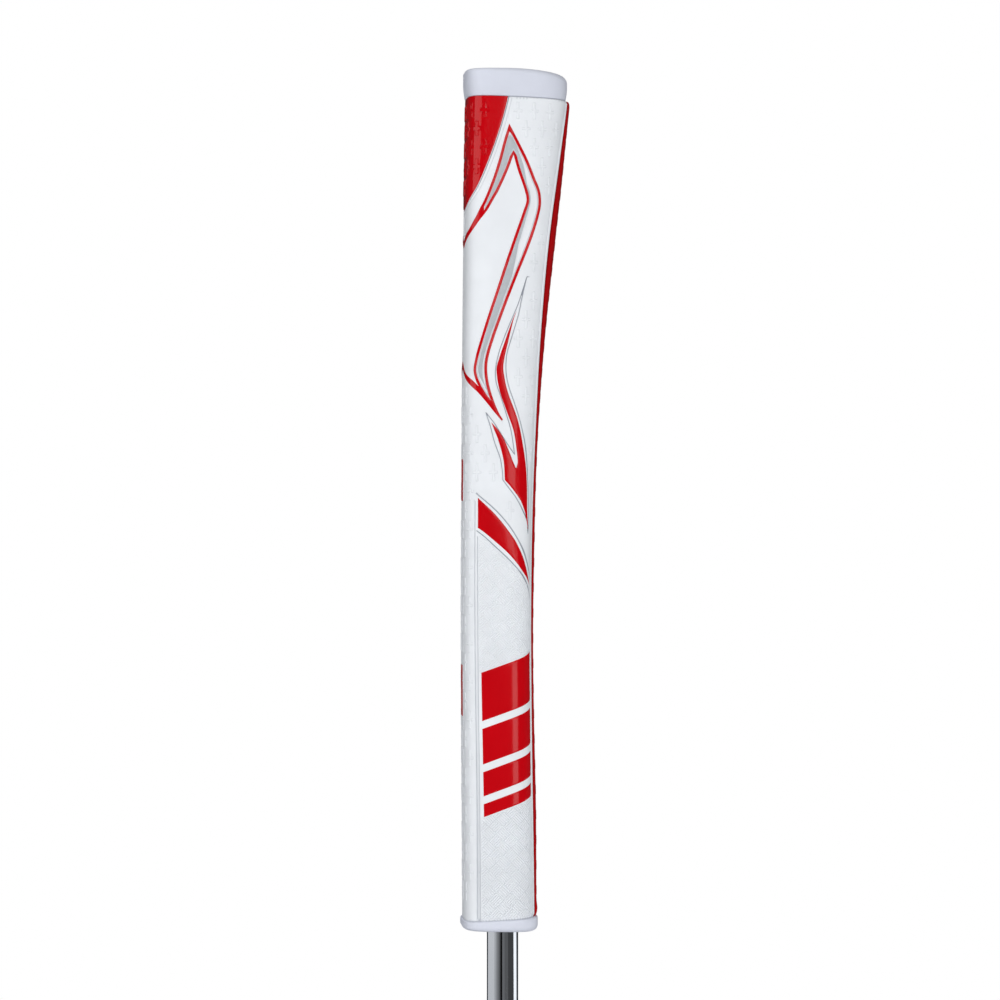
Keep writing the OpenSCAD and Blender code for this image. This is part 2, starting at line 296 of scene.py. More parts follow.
HEART_LEFT = [
    (0, 211.6), (5.05, 213.1), (8.4, 214.6), (11.2, 216.75), (13.8, 219.8), (16.3, 222.9), (18.05, 225.9),
    (19.8, 229), (22.6, 235.2), (24.35, 240),
]
HEART_RIGHT = [
    (25.7, 235.2), (27.8, 229.1), (28.4, 226), (27.5, 222.9), (25.3, 216.7), (22.1, 207.5), (19, 198.2),
    (15.9, 188.9), (13, 179.7), (12.2, 176.6), (11.7, 173.5), (12.5, 170.4), (13.5, 168.5),
]
HEART_FOOT = [(11.2, 170.5), (7.5, 172.65), (3, 175.2), (0, 176.5)]
HEART = loop(HEART_LEFT, HEART_RIGHT, HEART_FOOT)

LINE_W = 0.88
WALLS = [
    spline(line)
    for line in (BLADE_LEFT, BLADE_LEFT[-1:] + BLADE_RIGHT, HEART_LEFT[-1:] + HEART_RIGHT, HEART_LEFT)
]


def channel(margins, spans, corners):
    """The outline inside the four walls: up the blade's left and right, and back along the heart.

    margins: distance from each wall. spans: the heights kept of it. corners: the points before it.
    """
    out = []
    for wall, margin, span, corner, way in zip(WALLS, margins, spans, corners, (1, 1, -1, -1)):
        out += [corner, between(beside(wall, way * margin), *span)[::way]]
    return np.concatenate(out)


def ribbon(wall, heights, gaps):
    """Distance of the silver ribbon from a wall of the blade, by height."""
    return LINE_W + np.interp(wall[:, 1], heights, gaps)[:, None]


CHANNEL = channel(
    [LINE_W] * 4,
    [(223.6, 246.2), (165.4, 246.4), (170.4, 240.2), (223.6, 239.8)],
    [[(15.3, 222.8)], [(23.15, 247.2)], [(17.2, 164.3), (15.6, 166.4), (14.3, 168.6)], [(24.35, 241.3)]],
)
# The gaps by height leave white channel floor where the channel looks bright: partly the channel's real white
# wall, partly a painted highlight in place of light on the silver.
SILVER_LINE = channel(
    [
        LINE_W + 0.3,
        ribbon(
            WALLS[1],
            [165, 168, 172, 180, 190, 202, 207, 211, 217, 222, 227, 232, 237, 243],
            [0.25, 0.5, 0.8, 0.6, 0.45, 0.55, 1.5, 2.35, 2.7, 2.75, 2.4, 2.1, 1, 0.3],
        ),
        ribbon(WALLS[2], [168, 172, 180, 190], [0.25, 0.6, 0.45, 0.3]),
        LINE_W + 0.3,
    ],
    [(224.9, 245.2), (167.6, 245.4), (171.2, 240.8), (224.9, 240.4)],
    [[(15.8, 223.9)], [(23.15, 246.3)], [(16.6, 166.3)], [(24.35, 241.9)]],
)

FLAME = loop(
    [(25.2, 191.8), (24.2, 188.9), (22.7, 182.8), (21.3, 176.6), (21.1, 173.5), (22.3, 167.3), (25.6, 158),
     (27.6, 148.7), (28.6, 142.5), (29.1, 136.3), (29.3, 130), (30, 124.4)],
    [(29.1, 127), (28, 130.2), (26.5, 133.3), (23.3, 137.6), (21.5, 139.6)],
    [(21.1, 145.7), (19.5, 151.9), (18.3, 155), (17.3, 157.5)],
    [(19.6, 154.9), (21.4, 151.9), (22.7, 148.8), (23.9, 145.7), (25, 143.2)],
    [(25.5, 145), (25.2, 148.8), (24.2, 154.9), (22, 161.1), (19.9, 167.3), (18.95, 173.5), (19.6, 176.6),
     (21.7, 182.8), (23.9, 188.9), (25.2, 191.8)],
)
FLAME_BORDER = loop(
    [(28.6, 202.5), (25.8, 194.1), (23.5, 188.7), (21.3, 183.4), (19.65, 178.7), (18.65, 173.5),
     (18.9, 169.6), (20.25, 165.5), (22, 160), (23.5, 154.7), (24.6, 147.5)],
    [(23.2, 149.5), (21, 152.8), (18.2, 157.2), (15.6, 160.5)],
    [(17.1, 155.9), (18.3, 151.3), (20.05, 146.4), (20.75, 142.5), (20.95, 139.6)],
    [(22.6, 137.4), (25.1, 134.1), (27.6, 129.9), (29.4, 126.6), (30.1, 122.8)],
    [(30.35, 126.5), (30.1, 132.1), (29.7, 137.6), (28.9, 145.6), (28.2, 150.3), (26.9, 155.8), (25.7, 159.9),
     (24.3, 164.1), (22.6, 169.1), (21.9, 173.5), (22.2, 178.5), (23.5, 183), (25.8, 190.5), (27, 196),
     (28.6, 202.5)],
)

WEDGE = loop(
    [(13.2, 134.1), (17.4, 130.2), (20.2, 127.1), (22.6, 124), (24.8, 120.9), (26.5, 117.8), (28, 114.7),
     (29.3, 111.5), (31.3, 107.1)],
    [(29.6, 109), (27.6, 111.1), (25.2, 114.1), (22.3, 117.3), (18.6, 120.6), (14.6, 123.9), (13.2, 124.8)],
    [(13.2, 134.1)],
)
WEDGE_TOP = spline(
    [(12.6, 135.5), (16.2, 132.5), (19.3, 129.7), (22.6, 125.9), (25.1, 122.3), (27.6, 118.1), (30.2, 113),
     (33.1, 108.4)]
)
WEDGE_UNDER = spline(
    [(12.8, 123.9), (15.1, 122.2), (18.2, 119.4), (21.5, 116.4), (24.6, 113.3), (27.2, 110.4), (29.6, 107.4),
     (32.3, 103.6)]
)

BAR_NEAR, BAR_FAR, BAR_LOW, BAR_GAP, BAR_CLIMB = 14.6, 31.9, 35.3, 2.4, 0.36
BAR_TALL = [4, 7.5, 11, 15]


def bar_near(z):
    """The bars' edge beside the groove, which leans a little."""
    return BAR_NEAR + 0.4 - 0.7 * (z - BAR_LOW) / 44


def _bars():
    z, out = BAR_LOW, []
    lift = BAR_CLIMB * (BAR_FAR - BAR_NEAR)
    for tall in BAR_TALL:
        low, top = [(bar_near(z), z), (BAR_FAR, z + lift)], [(bar_near(z + tall), z + tall)]
        out.append(loop(low, [(BAR_FAR, z + lift + tall)], top))
        z += tall + BAR_GAP
    return out


BARS = _bars()
DASHES = [loop([(0.8, a), (3.2, a)], [(3.2, b)], [(0.8, b)]) for a, b in ((133, 146), (66, 82))]

GROOVE_OUT = spline([(12.2, 133), (12.2, 102), (12.4, 71), (12.7, 44), (12.8, 10), (12.85, 3.6)], 1)
GROOVE_IN = spline([(13.05, 122), (13.15, 102), (13.3, 71), (13.6, 44), (13.8, 10), (13.85, 3.6)], 1)

# ---- flat layouts to solid meshes


CUT = 0.93  # a point this share of its offset from its line is too near to another one


def true_runs(keep):
    """Runs of neighbouring places where keep is true."""
    runs = np.split(np.arange(len(keep)), np.nonzero(np.diff(keep.astype(int)))[0] + 1)
    return [run for run in runs if len(run) and keep[run[0]]]


class Layout:
    """Points of a flat layout with their own heights, and the edges that must stay."""

    def __init__(self):
        self.points, self.heights, self.creases, self.edges, self.count = [], [], [], [], 0

    def add(self, line, height=0.0, edges=None, crease=0.0):
        """edges: None, 'open' or 'closed'. crease: how much painted shade a corner gets."""
        line = np.asarray(line, float)
        n = len(line)
        self.points.append(line)
        self.heights.append(np.broadcast_to(height, n).astype(float))
        self.creases.append(np.full(n, float(crease)))
        if edges:
            last = n if edges == "closed" else n - 1
            self.edges += [(self.count + i, self.count + (i + 1) % n) for i in range(last)]
        self.count += n

    def add_runs(self, line, keep, near=None, away=0.0):
        """The kept stretches of a line, each with its edges, where it isn't nearer to another line."""
        if near:
            keep[keep] = near(line[keep])[0] > np.broadcast_to(away * CUT, len(line))[keep]
        for run in true_runs(keep):
            if len(run) > 1:
                self.add(line[run], 0.0, "open")

    def add_beside(self, outline, away, allowed, near):
        """Points on both sides of a closed outline, where allowed and not nearer to another edge."""
        for side in (-away, away):
            row = beside(outline, side, True)
            row = row[allowed(row)]
            self.add(row[near(row)[0] > away * CUT])

    def fill(self, spots, room):
        """Adds the spots that are further than room from every point so far."""
        tree = tree_of(np.concatenate(self.points))
        keep = [p for p in spots if tree.find((p[0], p[1], 0))[2] > room]
        self.add(np.array(keep).reshape(-1, 2))

    def triangles(self, keep):
        """Flat points, their heights and painted crease shade, and the triangles whose middles pass keep().
        """
        points = np.concatenate(self.points)
        heights = np.stack([np.concatenate(self.heights), np.concatenate(self.creases)], 1)
        out = delaunay_2d_cdt([Vector(p) for p in points], self.edges, [], 0, 1e-5)
        flat = np.array([tuple(v) for v in out[0]])
        own = np.array([heights[o[0]] if len(o) else (0.0, 0.0) for o in out[3]])
        tris = np.array([tuple(f) for f in out[2]])
        tris = tris[keep(flat[tris].mean(axis=1))]
        a, b, c = (flat[tris[:, i]] for i in range(3))
        turn = (b[:, 0] - a[:, 0]) * (c[:, 1] - a[:, 1]) - (b[:, 1] - a[:, 1]) * (c[:, 0] - a[:, 0])
        tris[turn < 0] = tris[turn < 0][:, ::-1]
        used = np.unique(tris)
        new = np.full(len(flat), -1)
        new[used] = np.arange(len(used))
        return flat[used], own[used], new[tris]


def lattice(low, high, du, dz):
    """Spots in staggered rows."""
    rows = []
    for k, z in enumerate(np.arange(low[1], high[1], dz)):
        rows.append(pairs(np.arange(low[0] + (du / 2 if k % 2 else 0), high[0], du), z))
    return np.concatenate(rows)


def edge_runs(tris):
    """The directed edges that only one triangle has."""
    seen = {}
    for t in tris.tolist():
        for a, b in ((t[0], t[1]), (t[1], t[2]), (t[2], t[0])):
            seen[(a, b)] = seen.get((a, b), 0) + 1
    return [e for e in seen if (e[1], e[0]) not in seen]


def same_places(edges, flat, other):
    """Edges between points of one flat sheet, with the numbers their ends have in another sheet."""
    number = {(round(u, 3), round(z, 3)): i for i, (u, z) in enumerate(other.tolist())}
    return [tuple(number[round(u, 3), round(z, 3)] for u, z in flat[list(e)].tolist()) for e in edges]


def closed_solid(top, under, painted_shade):
    """Vertices, faces and painted crease shade of the solid between two triangulated sheets that share their
    rims.

    top and under are (flat points, points in space, triangles). The solid is mirrored in X, and is one
    with its mirror image along X = 0. painted_shade holds the painted crease shade of each point of the top
    sheet.
    """
    (flat_t, space_t, tris_t), (flat_u, space_u, tris_u) = top, under
    base = len(space_t)
    verts = np.concatenate([space_t, space_u])
    faces = [tuple(t) for t in tris_t.tolist()]
    faces += [(base + t[0], base + t[2], base + t[1]) for t in tris_u.tolist()]
    centre = np.abs(verts[:, 0]) < 1e-6
    rim = [(a, b) for a, b in edge_runs(tris_t) if not (centre[a] and centre[b])]
    for (a, b), (c, d) in zip(rim, same_places(rim, flat_t, flat_u)):
        faces.append((b, a, base + c, base + d))
    n = len(verts)
    twin = np.arange(n)
    others = np.nonzero(~centre)[0]
    twin[others] = n + np.arange(len(others))
    verts = np.concatenate([verts, verts[others] * [-1, 1, 1]])
    faces += [tuple(int(twin[i]) for i in reversed(f)) for f in faces]
    shade = np.concatenate([painted_shade, np.zeros(len(space_u))])
    return verts, faces, np.concatenate([shade, shade[others]])


def placed(name, data):
    """A new object in the scene."""
    thing = bpy.data.objects.new(name, data)
    bpy.context.scene.collection.objects.link(thing)
    return thing


def make(name, solid, material, body, nodes, sharp=28):
    """A piece from millimetre points, faces and painted crease shade, shaded smooth with sharp edges kept."""
    verts, faces, *painted_shade = solid
    mesh = bpy.data.meshes.new(name)
    mesh.from_pydata((verts * MM).tolist(), [], faces)
    # the crease_shade attribute carries the painted shade of each point
    if painted_shade:
        mesh.attributes.new("crease_shade", "FLOAT", "POINT").data.foreach_set("value", painted_shade[0])
    mesh.polygons.foreach_set("use_smooth", [True] * len(mesh.polygons))
    mesh.set_sharp_from_angle(angle=math.radians(sharp))
    mesh.materials.append(material)
    mesh.update()
    piece = placed(name, mesh)
    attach(piece, body)
    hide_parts(*nodes)


RIDGE_PART = 0.9


def ridge_loop(middle, along, half_long, half_wide):
    """A closed rectangle about middle, its long sides cut into parts short enough to bend."""
    across = np.array([-along[1], along[0]])
    n = max(1, int(math.ceil(2 * half_long / RIDGE_PART)))
    s = np.linspace(-half_long, half_long, n + 1)[:, None]
    low = middle + s * along - half_wide * across
    high = middle + s[::-1] * along + half_wide * across
    return np.concatenate([low, high])


def plus_loop(middle, arm_u, arm_z, half):
    corner = [
        (half, half), (half, arm_z), (-half, arm_z), (-half, half), (-arm_u, half), (-arm_u, -half),
        (-half, -half), (-half, -arm_z), (half, -arm_z), (half, -half), (arm_u, -half), (arm_u, half),
    ]
    return np.array(corner) + middle


PLUS_COLUMN, PLUS_PITCH, PLUS_TOP = 2.57, 11.8, 254.1
# reach along u, reach along z and half width of the arms, then the width of their slopes
PLUS_SIZE, PLUS_SIDE = (1.15, 2.6, 0.24), 0.14


def plus_spots(wide, low):
    """Middles of the plus signs above low: neighbouring columns are half a pitch apart."""
    out = []
    for k in range(int(wide / PLUS_COLUMN) + 1):
        z = PLUS_TOP - (PLUS_PITCH / 2 if k % 2 else 0)
        while z > low:
            out.append((k * PLUS_COLUMN, z))
            z -= PLUS_PITCH
    return np.array(out)


def add_pluses(layout, spots, allowed, rise, crease, size=PLUS_SIZE, side=PLUS_SIDE):
    """Raised plus signs where every corner passes allowed(), with crease as painted shade at the foot of
    their slopes.
    """
    for spot in spots:
        rings = [plus_loop(spot, *(s + grow for s in size)) for grow in (side + 0.17, side, 0)]
        if not allowed(rings[0]).all():
            continue
        for line, h, shade in zip(rings, (0.0, 0.0, rise), (0.0, crease, 0.0)):
            if spot[0] > 1e-6:
                layout.add(line, h, "closed", shade)
                continue
            line = line[line[:, 0] > -1e-9]
            line = line[np.argsort([-math.atan2(p[0], p[1] - spot[1]) for p in line])]
            layout.add(np.array([[0, line[0][1]], *line, [0, line[-1][1]]]), h, "open", shade)


def soft(x):
    x = np.clip(x, 0, 1)
    return x * x * (3 - 2 * x)


# ---- the skin

LIP_IN = 1.1  # distance of the line beside the lip from the skin's edge
FINE_W = 0.19
ROOM = 0.42  # plain spots and raised patterns stay this far from lines
UNDERSIDE = -1.35
# engraved line, half width, depth, painted shade along the line
ENGRAVED = [
    (beside(spline(FIELD_EDGE), -0.26), FINE_W, 0.2, 0.95),
    (beside(spline(FIELD_EDGE), -1.25), FINE_W, 0.06, 0.3),
    (FLAME_BORDER, 0.23, 0.2, 0.78),
    (WEDGE_TOP, 0.3, 0.2, 0.75),
    (WEDGE_UNDER, 0.25, 0.2, 0.85),
    (GROOVE_OUT, 0.2, 0.14, 0.55),
    (GROOVE_IN, 0.2, 0.14, 0.55),
]


def _lip_line():
    z = np.arange(SKIN_LOW, SKIN_TOP + 0.01, 1.0)
    z[-1] = SKIN_TOP
    return np.stack([lip_u(z) - LIP_IN, z], 1)


ENGRAVED.append((_lip_line(), 0.17, 0.14, 0.35))
CLOSED = [e[0] is FLAME_BORDER for e in ENGRAVED]
EDGES = [FIELD, BLADE, HEART, CHANNEL, FLAME, WEDGE, *BARS, *DASHES]
CHANNEL_DEEP, CHANNEL_SIDE = 0.3, 0.5
POCKET_DEEP = 0.28
WEAVE_CELL, WEAVE_PITCH = 3.2, 0.64


def u_on(line, z):
    """Where a line that runs down the skin is at heights z."""
    return np.interp(z, line[::-1, 1], line[::-1, 0])


def heavier(p):
    """Where engraved lines are wider and carry darker painted shade: low on the side, next to the strip."""
    u, z = p.T
    return soft((u - 25.5) / 3) * soft((158 - z) / 10) * soft((z - 100) / 4)


def filmed(p):
    """Which places a film covers."""
    out = inside(p, BLADE) ^ inside(p, CHANNEL) ^ inside(p, HEART)
    for shape in (FIELD, FLAME, WEDGE, *BARS, *DASHES):
        out |= inside(p, shape)
    return out


def skin_relief(flat, own):
    """Height and painted crease shade of the skin: engraved lines, channel, pockets for the films, lip and
    ends.
    """
    u, z = flat.T
    away, line = near_engraved(flat)
    half, deep, shade = (np.array([e[i] for e in ENGRAVED])[line] for i in (1, 2, 3))
    more = heavier(flat)
    part = np.clip(1 - away / (half * (1 + 0.5 * more)), 0, 1)
    h = own[:, 0] - deep * part
    # painted shade along the middle of each engraved line
    crease = np.maximum(own[:, 1], np.minimum(1, shade * (1 + 0.3 * more)) * part)
    # a valley between the two groove lines, deeper towards the collar, with painted shade in it
    a, b = u_on(GROOVE_OUT, z), u_on(GROOVE_IN, z)
    across = np.clip((u - a) / (b - a), 0, 1)
    valley = np.interp(z, [20, 110], [0.42, 0.03]) * np.sin(math.pi * across)
    h -= valley
    crease = np.maximum(crease, 0.9 * valley * (z < 118))
    rim = near_channel(flat)[0]
    sunk = inside(flat, CHANNEL)
    h = np.where(sunk, h - CHANNEL_DEEP * soft(rim / CHANNEL_SIDE), h)
    # painted shade along the foot of the channel's sides
    crease = np.where(sunk, np.maximum(crease, 0.5 * (1 - np.abs(rim - 0.17) / 0.15)), crease)
    covered = filmed(flat)
    rim = near_edges(flat)[0]
    h = np.where(covered, -POCKET_DEEP * soft((rim - 0.06) / 0.1), h)
    edge = lip_u(z) - u
    h += np.where((edge < LIP_IN) & ~covered, 0.34 * np.sin(math.pi * np.clip(edge / LIP_IN, 0, 1) ** 0.6), 0)
    h -= 0.16 * np.clip(1 - edge / 0.25, 0, 1) ** 2
    # painted shadow along the skin's edge beside the strip
    crease = np.maximum(crease, 0.6 * np.clip(1 - edge / 0.2, 0, 1))
    for end in (z - SKIN_LOW, SKIN_TOP - z):
        h -= 0.18 * np.clip(1 - end / 0.45, 0, 1) ** 2
        # painted shade along the skin's ends, where the cap and collar meet it
        crease = np.maximum(crease, 0.5 * np.clip(1 - end / 0.3, 0, 1))
    return h, crease


def within(p, room=0.02):
    """Which places are on the skin, off its centre line and at least room from its edge."""
    u, z = p.T
    return (u > 1e-3) & (u < lip_u(z) - room) & (z > SKIN_LOW + 0.02) & (z < SKIN_TOP - 0.02)


def clear(p):
    """Which places have room between them and every line."""
    return (near_edges(p)[0] > ROOM) & (near_engraved(p)[0] > ROOM)


def plain(p):
    """Which places may have raised pluses."""
    ok = clear(p) & (p[:, 1] > SKIN_LOW + 0.6) & (p[:, 1] < SKIN_TOP - 0.6) & ~in_panel(p, 0)
    if p[:, 0].min() > 0:
        ok &= within(p, 1.45)
    for shape in (FIELD, BLADE, FLAME_BORDER, FLAME, WEDGE, *DASHES):
        ok &= ~inside(p, shape)
    return ok


def skin_layout():
    layout = Layout()
    side = np.arange(SKIN_LOW, SKIN_TOP, 1.0)
    bottom = pairs(np.linspace(0, lip_u(SKIN_LOW), 40), SKIN_LOW)
    top = pairs(np.linspace(0, lip_u(SKIN_TOP), 46), SKIN_TOP)
    front = pairs(0, np.linspace(SKIN_LOW, SKIN_TOP, 150))
    rim = [bottom[:-1], pairs(lip_u(side), side), top[::-1], front[-2:0:-1]]
    layout.add(np.concatenate(rim), 0, "closed")
    for away in (0.12, 0.25, 0.55, 0.85):
        layout.add(pairs(lip_u(side[1:]) - away, side[1:]), 0, "open")
    for z, n in ((SKIN_LOW + 0.2, 38), (SKIN_LOW + 0.45, 38), (SKIN_TOP - 0.2, 42), (SKIN_TOP - 0.45, 42)):
        layout.add(pairs(np.linspace(0, lip_u(z) - 1.4, n), z))
    for (line, half, _, _), closed in zip(ENGRAVED, CLOSED):
        layout.add_runs(line, within(line))
        wide = half * (1 + 0.5 * heavier(line))
        for side in (-1, 1):
            row = beside(line, side * wide[:, None], closed)
            layout.add_runs(row, within(row, 0.3), near_engraved, wide)
    layout.add(CHANNEL, 0, "closed")
    for away in (0.17, 0.33, 0.5):
        row = beside(CHANNEL, away, True)
        layout.add_runs(row, inside(row, CHANNEL), near_channel, away)
    for outline in EDGES:
        for away in (0.06, 0.17):
            layout.add_beside(outline, away, lambda p: within(p) & (p[:, 0] > 0.05) & filmed(p), near_edges)
    add_pluses(layout, plus_spots(40, SKIN_LOW), plain, 0.13, 0.1)
    add_weave(layout)
    spots = lattice((0.9, SKIN_LOW + 1.2), (50, SKIN_TOP - 0.8), 1.0, 1.9)
    layout.fill(spots[within(spots, 1.6)], ROOM)
    return layout


PANEL_TOP = np.concatenate([[(12.8, 123.9)], WEDGE_UNDER, [(40, 97)]])


def in_panel(p, room):
    """The textured side panel, from the groove to the lip line and up to the wedge."""
    u, z = p.T
    ok = (u > u_on(GROOVE_IN, z) + room) & (u < lip_u(z) - LIP_IN - room)
    base = z - BAR_CLIMB * (u - BAR_NEAR)
    ok &= (base < BAR_LOW - 0.3) | (base > BAR_LOW + sum(BAR_TALL) + 3 * BAR_GAP + 0.3)
    return ok & (z < np.interp(u, *PANEL_TOP.T) - room)


def add_weave(layout):
    """Basket weave at 45 degrees: cells of five ridges, turned from one cell to the next."""
    e1, e2 = np.array([1, 1]) / math.sqrt(2), np.array([-1, 1]) / math.sqrt(2)
    reach = WEAVE_CELL / 2 - 0.06
    t = np.linspace(-reach, reach, 23)
    for i in range(-4, 60):
        for j in range(-50, 40):
            middle = np.array([12.0, 3.0]) + WEAVE_CELL * (i * e1 + j * e2)
            if not (10 < middle[0] < 40 and 0 < middle[1] < 128):
                continue
            along, across = (e1, e2) if (i + j) % 2 else (e2, e1)
            for k in range(-2, 3):
                centre = middle + k * WEAVE_PITCH * across
                line = centre + t[:, None] * along
                ok = in_panel(line, 0.45) & (line[:, 1] > SKIN_LOW + 0.8)
                if not ok.any():
                    continue
                ok[ok] = clear(line[ok]) & ~filmed(line[ok])
                run = max(true_runs(ok), key=len, default=[])
                if len(run) < 6:
                    continue
                lo, hi = t[run[0]], t[run[-1]]
                mid, half = centre + (lo + hi) / 2 * along, (hi - lo) / 2
                rise = np.interp(mid[1], [40, 70, 122], [0.22, 0.16, 0.1])
                # painted shade at the foot of each ridge, stronger where the ridges are taller
                layout.add(ridge_loop(mid, along, half, 0.26), 0.0, "closed", 0.6 * rise)
                layout.add(ridge_loop(mid, along, half - 0.09, 0.17), rise, "closed")


near_engraved = Nearness([e[0] for e in ENGRAVED], CLOSED)
near_channel = Nearness([CHANNEL], [True])
near_edges = Nearness(EDGES, [True] * len(EDGES), 0.05)

# ---- materials


class Nodes:
    """Short calls for a material's node tree."""

    def __init__(self, name):
        self.material = bpy.data.materials.new(name)
        self.material.use_nodes = True
        self.tree = self.material.node_tree
        self.shader = next(n for n in self.tree.nodes if n.type == "BSDF_PRINCIPLED")

    @cached_property
    def place(self):
        return self.add("ShaderNodeTexCoord").outputs["Object"]

    def add(self, kind, **values):
        node = self.tree.nodes.new(kind)
        for key, value in values.items():
            if hasattr(node, key):
                setattr(node, key, value)
            else:
                node.inputs[key.replace("_", " ")].default_value = value
        return node

    def link(self, a, b):
        self.tree.links.new(a, b)

    def noise(self, scale, detail=3.0, roughness=0.5, stretch=(1, 1, 1)):
        mapping = self.add("ShaderNodeMapping", Scale=stretch)
        self.link(self.place, mapping.inputs["Vector"])
        node = self.add("ShaderNodeTexNoise", Scale=scale, Detail=detail, Roughness=roughness)
        self.link(mapping.outputs["Vector"], node.inputs["Vector"])
        return node.outputs["Fac"]

    def ramp(self, fac, low, high, a=0.3, b=0.7):
        node = self.add("ShaderNodeValToRGB")
        for stop, position, color in zip(node.color_ramp.elements, (a, b), (low, high)):
            stop.position, stop.color = position, (*color, 1)
        self.link(fac, node.inputs["Fac"])
        return node.outputs["Color"]

    def spread(self, fac, low, high):
        node = self.add("ShaderNodeMapRange", From_Min=0.3, From_Max=0.7, To_Min=low, To_Max=high)
        self.link(fac, node.inputs["Value"])
        return node.outputs["Result"]

    def bump(self, height, strength, distance):
        node = self.add("ShaderNodeBump", Strength=strength, Distance=distance)
        self.link(height, node.inputs["Height"])
        self.link(node.outputs["Normal"], self.shader.inputs["Normal"])

    def set(self, **values):
        for key, value in values.items():
            self.shader.inputs[key.replace("_", " ")].default_value = value


def tint(color, k):
    return tuple(min(1, c * k) for c in color)


def soft_rubber(
    name, color, rough, specular, grain=2600, depth=0.00002, vary=0.04, painted_shade_color=(0.1, 0.12, 0.17), **more
):
    """Moulded polyurethane or rubber: fine grain, faint tone changes, painted shade in the creases and uneven
    sheen.
    """
    m = Nodes(name)
    tone = m.ramp(m.noise(90, 4), tint(color, 1 - vary), tint(color, 1 + vary * 0.4))
    # painted shade: the crease_shade attribute darkens the base colour towards painted_shade_color in creases
    # and grooves
    crease = m.add("ShaderNodeAttribute", attribute_name="crease_shade").outputs["Fac"]
    mix = m.add("ShaderNodeMix", data_type="RGBA")
    m.link(crease, mix.inputs["Factor"])
    m.link(tone, mix.inputs[6])
    mix.inputs[7].default_value = (*painted_shade_color, 1)
    m.link(mix.outputs[2], m.shader.inputs["Base Color"])
    m.link(m.spread(m.noise(420, 3), rough - 0.05, rough + 0.05), m.shader.inputs["Roughness"])
    m.bump(m.noise(grain, 3, 0.6), 0.35, depth)
    m.set(Specular_IOR_Level=specular, **more)
    return m.material


def finish(name, low, high, tone, sheen, grain, rough, strength, depth, metallic=0.0):
    """A surface with noises for its tone, sheen and grain."""
    m = Nodes(name)
    m.link(m.ramp(m.noise(*tone), low, high), m.shader.inputs["Base Color"])
    m.link(m.spread(m.noise(*sheen), *rough), m.shader.inputs["Roughness"])
    m.bump(m.noise(*grain), strength, depth)
    m.set(Metallic=metallic)
    return m.material


def speckled(name, low, high, scale, rough, depth):
    """Plain matt finishes of the hidden and small pieces."""
    grain = (scale, 4, 0.65)
    return finish(name, low, high, grain, grain, grain, (rough - 0.06, rough + 0.06), 0.6, depth)


def woven(name, low, high, pitch):
    """Cloth tape: two crossing sets of threads."""
    m = Nodes(name)
    both = m.add("ShaderNodeMath", operation="MAXIMUM")
    for k, direction in enumerate("XZ"):
        wave = m.add("ShaderNodeTexWave", bands_direction=direction, Scale=2 / pitch / 3.2, Distortion=1.2)
        m.link(m.place, wave.inputs["Vector"])
        m.link(wave.outputs["Fac"], both.inputs[k])
    m.link(m.ramp(both.outputs[0], low, high, 0.2, 0.9), m.shader.inputs["Base Color"])
    m.bump(both.outputs[0], 0.5, 0.0001)
    m.set(Roughness=0.8)
    return m.material


SKIN = soft_rubber("skin_white", (0.85, 0.872, 0.9), 0.5, 0.3)
# the last colour given is the dark red of the painted shade in the film's creases
RED = soft_rubber(
    "inlay_red", (0.57, 0.0002, 0.004), 0.42, 0.0, 1500, 0.000006, 0.05, (0.1, 0, 0.001),
    Coat_Weight=1.0, Coat_Roughness=0.13, Coat_IOR=1.45,
)
# the last colour given is the dark red of the painted shade at the strip's rim and pluses
STRIP = soft_rubber("strip_red", (0.46, 0.0002, 0.002), 0.4, 0.06, 1800, 0.00003, 0.08, (0.07, 0, 0.001))
FLAKES, POLISH = (5200, 2, 0.7), (900, 3, 0.6, (1, 1, 0.02))
SILVER = finish(
    "inlay_silver", (0.47, 0.5, 0.53), (0.6, 0.635, 0.67),
    FLAKES, (600, 2), FLAKES, (0.38, 0.48), 0.25, 0.00001, 0.25,
)
CHROME = finish(
    "shaft_chrome", (0.70, 0.72, 0.75), (0.78, 0.80, 0.83),
    (60, 3), POLISH, POLISH, (0.03, 0.07), 0.06, 0.000004, 1.0,
)
CAP = soft_rubber("cap_rubber", (0.71, 0.733, 0.82), 0.52, 0.3)
PLUG = speckled("plug_plastic", (0.035, 0.035, 0.038), (0.055, 0.055, 0.06), 1800, 0.45, 0.00003)

# ---- skin, inlays and strip


def build_skin():
    layout = skin_layout()
    flat, own, tris = layout.triangles(lambda m: m[:, 0] < lip_u(m[:, 1]) - 0.004)
    rise, crease = skin_relief(flat, own)
    top = (flat, lean(on_skin(flat, rise)), tris)
    rim = edge_runs(tris)
    border = flat[sorted({i for edge in rim for i in edge})]
    inner = Layout()
    inner.add(border)
    inner.edges = same_places(rim, flat, border)
    spots = lattice((2.0, SKIN_LOW + 3), (50, SKIN_TOP - 3), 2.6, 6)
    inner.fill(spots[spots[:, 0] < lip_u(spots[:, 1]) - 1.5], 1.0)
    flat_u, _, tris_u = inner.triangles(lambda m: m[:, 0] < lip_u(m[:, 1]) - 0.004)
    under = (flat_u, lean(on_skin(flat_u, UNDERSIDE)), tris_u)
    make("grip_skin", closed_solid(top, under, crease), SKIN, "grip", ["skin_wrap"])


def film(rim):
    """Height of a paint film at distances from its rim."""
    return 0.04 + 0.06 * soft(rim / 0.12) + 0.02 * soft(rim / 0.5)


def trough(rim):
    """Height of the silver ribbon at distances from its rim: it lies on the floor of the channel."""
    return -CHANNEL_DEEP + 0.05 + 0.12 * (1 - soft(rim / 1.0))


